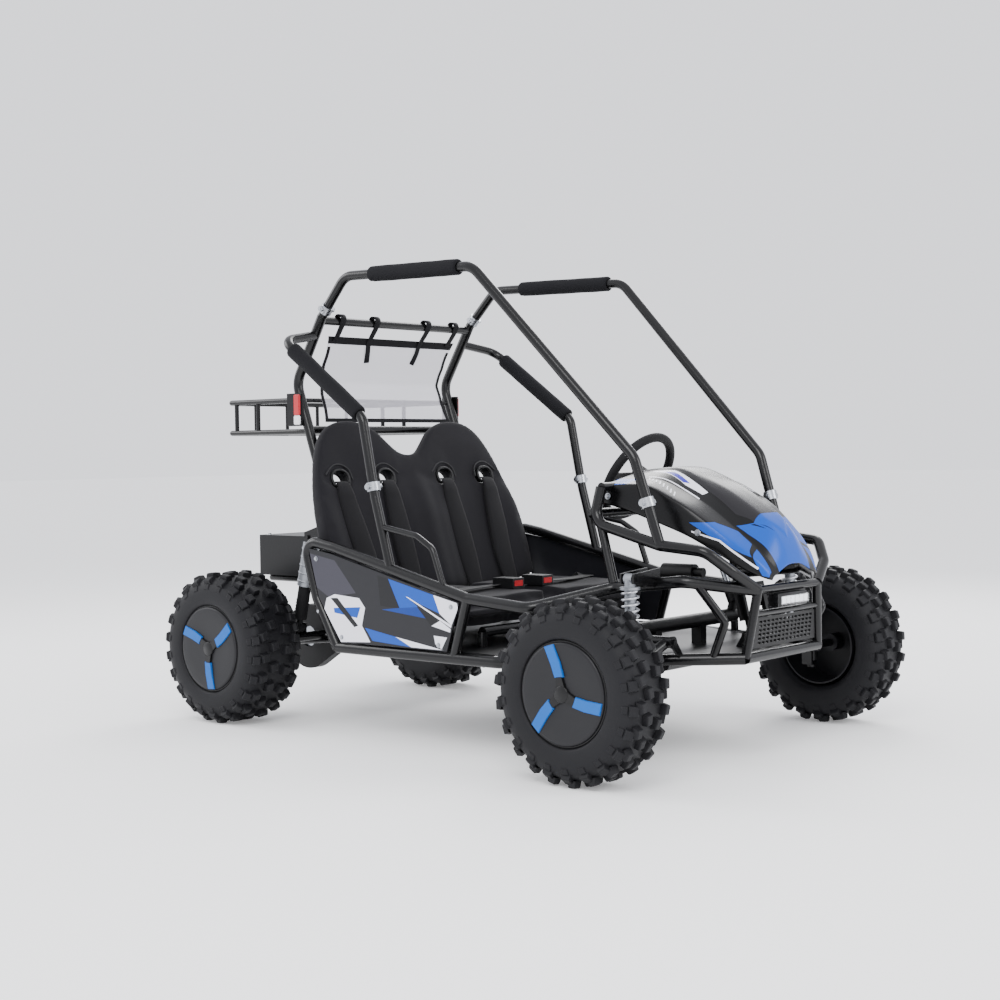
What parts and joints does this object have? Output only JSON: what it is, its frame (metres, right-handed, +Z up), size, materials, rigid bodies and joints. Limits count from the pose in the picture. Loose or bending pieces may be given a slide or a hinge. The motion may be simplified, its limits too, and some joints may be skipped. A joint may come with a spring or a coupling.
{
  "type": "two-seat off-road buggy kart",
  "caption": "Two-seat off-road buggy kart with tube frame, roll hoops, bucket seats, cowl, rack, steering, suspension and knobbly tyres.",
  "frame": {"origin": "on the ground at the middle of the overall box", "axes": "+X forward, +Y to the driver's left, +Z up"},
  "size_m": [1.708, 1.197, 1.2025],
  "materials": {
    "frame_paint": "satin black powder coat",
    "seat_fabric": "woven seat cloth",
    "foam": "closed cell foam",
    "tyre": "knobbly rubber",
    "wheel_plastic": "satin moulded wheel disc",
    "cowl_plastic": "gloss moulded cowl",
    "panel_plastic": "printed panel",
    "bright_steel": "zinc plated",
    "cast_aluminium": "cast",
    "screen_cloth": "fine mesh cloth",
    "webbing": "woven webbing",
    "black_plastic": "moulded",
    "red_plastic": "moulded",
    "lens": "moulded lens",
    "lamp_glass": "clear lens",
    "grip_rubber": "grained grip"
  },
  "bodies": {
    "frame": {"lower_frame": "frame_paint", "floor_pan": "frame_paint", "side_frames": "frame_paint", "side_panels": "panel_plastic", "rear_uprights": "frame_paint", "roll_hoop_right": "frame_paint", "roll_hoop_left": "frame_paint", "bar_pads": "foam", "side_bars": "frame_paint", "front_frame": "frame_paint", "luggage_rack": "frame_paint", "tail_lamps": "lens", "rear_screen": "screen_cloth", "seat_back": "seat_fabric", "seat_cushions": "seat_fabric", "harness_belts": "webbing", "buckles": "black_plastic", "hood": "cowl_plastic", "front_grille": "frame_paint", "lamp_bracket": "frame_paint", "front_lamp": "lamp_glass", "tube_clamps": "bright_steel", "rack_housing": "cast_aluminium", "battery_box": "frame_paint", "master_cylinder": "black_plastic", "front_shock_bodies": "bright_steel", "front_spring_right": "bright_steel", "front_spring_left": "bright_steel", "rear_shock_bodies": "cast_aluminium"},
    "steering": {"steering_wheel": "grip_rubber", "steering_column": "bright_steel"},
    "lower_shaft": {"steering_shaft": "bright_steel"},
    "rack": {"rack_bar": "bright_steel"},
    "swing": {"swing_arm": "frame_paint", "brake_caliper": "cast_aluminium", "motor": "cast_aluminium", "chain_guard": "black_plastic"},
    "axle": {"rear_axle": "bright_steel", "rear_tyres": "tyre", "rear_rims": "wheel_plastic", "sprocket": "bright_steel", "brake_disc": "bright_steel"},
    "motor_shaft": {"motor_sprocket": "bright_steel"},
    "rear_rods": {"rear_shock_rods": "black_plastic"},
    "brake": {"brake_pedal": "frame_paint"},
    "throttle": {"throttle_pedal": "frame_paint"},
    "arm_right": {"front_arm_right": "frame_paint"},
    "steer_knuckle_right": {"knuckle_right": "cast_aluminium"},
    "front_wheel_right": {"front_tyre_right": "tyre", "front_rim_right": "wheel_plastic"},
    "tie_right": {"tie_rod_right": "bright_steel"},
    "front_rod_right": {"front_shock_rod_right": "bright_steel"},
    "button_right": {"release_button_right": "red_plastic"},
    "arm_left": {"front_arm_left": "frame_paint"},
    "steer_knuckle_left": {"knuckle_left": "cast_aluminium"},
    "front_wheel_left": {"front_tyre_left": "tyre", "front_rim_left": "wheel_plastic"},
    "tie_left": {"tie_rod_left": "bright_steel"},
    "front_rod_left": {"front_shock_rod_left": "bright_steel"},
    "button_left": {"release_button_left": "red_plastic"}
  },
  "joints": [
    {"name": "steering_turn", "type": "hinge", "parent": "frame", "child": "steering", "pos_m": [0.2665, 0.2, 0.65], "axis": [-0.8526, 0, 0.5225], "range_deg": [-75, 75]},
    {"name": "lower_shaft_turn", "type": "hinge", "parent": "frame", "child": "lower_shaft", "pos_m": [0.47966, 0.2, 0.51938], "axis": [-0.4067, 0, 0.9135], "range_deg": [-75, 75]},
    {"name": "rack_slide", "type": "slide", "parent": "frame", "child": "rack", "axis": [0, 1, 0], "range_m": [-0.0256, 0.0256]},
    {"name": "swing_arm_lift", "type": "hinge", "parent": "frame", "child": "swing", "pos_m": [-0.2995, 0, 0.232], "axis": [0, 1, 0], "range_deg": [0, 7], "stiffness_Nm_per_rad": 4500, "springref_deg": -9.17},
    {"name": "axle_spin", "type": "hinge", "parent": "swing", "child": "axle", "pos_m": [-0.6495, 0, 0.203], "axis": [0, 1, 0], "continuous": true},
    {"name": "motor_spin", "type": "hinge", "parent": "swing", "child": "motor_shaft", "pos_m": [-0.4745, -0.12, 0.245], "axis": [0, 1, 0], "continuous": true},
    {"name": "rear_shock_slide", "type": "slide", "parent": "frame", "child": "rear_rods", "axis": [0.2352, 0, 0.972], "range_m": [0, 0.0264]},
    {"name": "brake_press", "type": "hinge", "parent": "frame", "child": "brake", "pos_m": [0.6895, 0.16, 0.268], "axis": [0, 1, 0], "range_deg": [0, 15], "stiffness_Nm_per_rad": 8, "springref_deg": -8.59},
    {"name": "throttle_press", "type": "hinge", "parent": "frame", "child": "throttle", "pos_m": [0.6895, 0.072, 0.268], "axis": [0, 1, 0], "range_deg": [0, 15], "stiffness_Nm_per_rad": 6, "springref_deg": -8.59},
    {"name": "arm_lift_right", "type": "hinge", "parent": "frame", "child": "arm_right", "pos_m": [0.6345, -0.262, 0.285], "axis": [-1, 0, 0], "range_deg": [0, 8], "stiffness_Nm_per_rad": 1300, "springref_deg": -9.17},
    {"name": "knuckle_steer_right", "type": "hinge", "parent": "arm_right", "child": "steer_knuckle_right", "pos_m": [0.6345, -0.45, 0.203], "axis": [0, 0, 1], "range_deg": [-20.9, 20.9]},
    {"name": "front_wheel_spin_right", "type": "hinge", "parent": "steer_knuckle_right", "child": "front_wheel_right", "pos_m": [0.6345, -0.5315, 0.203], "axis": [0, 1, 0], "continuous": true},
    {"name": "tie_rod_lift_right", "type": "hinge", "parent": "rack", "child": "tie_right", "pos_m": [0.5465, -0.262, 0.3], "axis": [-1, 0, 0], "range_deg": [0, 8]},
    {"name": "front_shock_slide_right", "type": "slide", "parent": "frame", "child": "front_rod_right", "axis": [0, 0, 1], "range_m": [0, 0.0117], "deforming": ["front_spring_right"]},
    {"name": "button_press_right", "type": "slide", "parent": "frame", "child": "button_right", "axis": [-1, 0, 0], "range_m": [0, 0.004], "stiffness_N_per_m": 300, "springref_m": -0.002},
    {"name": "arm_lift_left", "type": "hinge", "parent": "frame", "child": "arm_left", "pos_m": [0.6345, 0.262, 0.285], "axis": [1, 0, 0], "range_deg": [0, 8], "stiffness_Nm_per_rad": 1300, "springref_deg": -9.17},
    {"name": "knuckle_steer_left", "type": "hinge", "parent": "arm_left", "child": "steer_knuckle_left", "pos_m": [0.6345, 0.45, 0.203], "axis": [0, 0, 1], "range_deg": [-20.9, 20.9]},
    {"name": "front_wheel_spin_left", "type": "hinge", "parent": "steer_knuckle_left", "child": "front_wheel_left", "pos_m": [0.6345, 0.5315, 0.203], "axis": [0, 1, 0], "continuous": true},
    {"name": "tie_rod_lift_left", "type": "hinge", "parent": "rack", "child": "tie_left", "pos_m": [0.5465, 0.262, 0.3], "axis": [1, 0, 0], "range_deg": [0, 8]},
    {"name": "front_shock_slide_left", "type": "slide", "parent": "frame", "child": "front_rod_left", "axis": [0, 0, 1], "range_m": [0, 0.0117], "deforming": ["front_spring_left"]},
    {"name": "button_press_left", "type": "slide", "parent": "frame", "child": "button_left", "axis": [-1, 0, 0], "range_m": [0, 0.004], "stiffness_N_per_m": 300, "springref_m": -0.002}
  ],
  "couplings": [
    {"joint": "lower_shaft_turn", "follows": "steering_turn", "ratio": 1},
    {"joint": "rack_slide", "follows": "steering_turn", "m_per_rad": -0.019444},
    {"joint": "motor_spin", "follows": "axle_spin", "ratio": 4},
    {"joint": "rear_shock_slide", "follows": "swing_arm_lift", "m_per_rad": 0.2147},
    {"joint": "knuckle_steer_right", "follows": "steering_turn", "ratio": 0.27778},
    {"joint": "tie_rod_lift_right", "follows": "arm_lift_right", "ratio": 1},
    {"joint": "front_shock_slide_right", "follows": "arm_lift_right", "m_per_rad": 0.0828},
    {"joint": "knuckle_steer_left", "follows": "steering_turn", "ratio": 0.27778},
    {"joint": "tie_rod_lift_left", "follows": "arm_lift_left", "ratio": 1},
    {"joint": "front_shock_slide_left", "follows": "arm_lift_left", "m_per_rad": 0.0828}
  ]
}
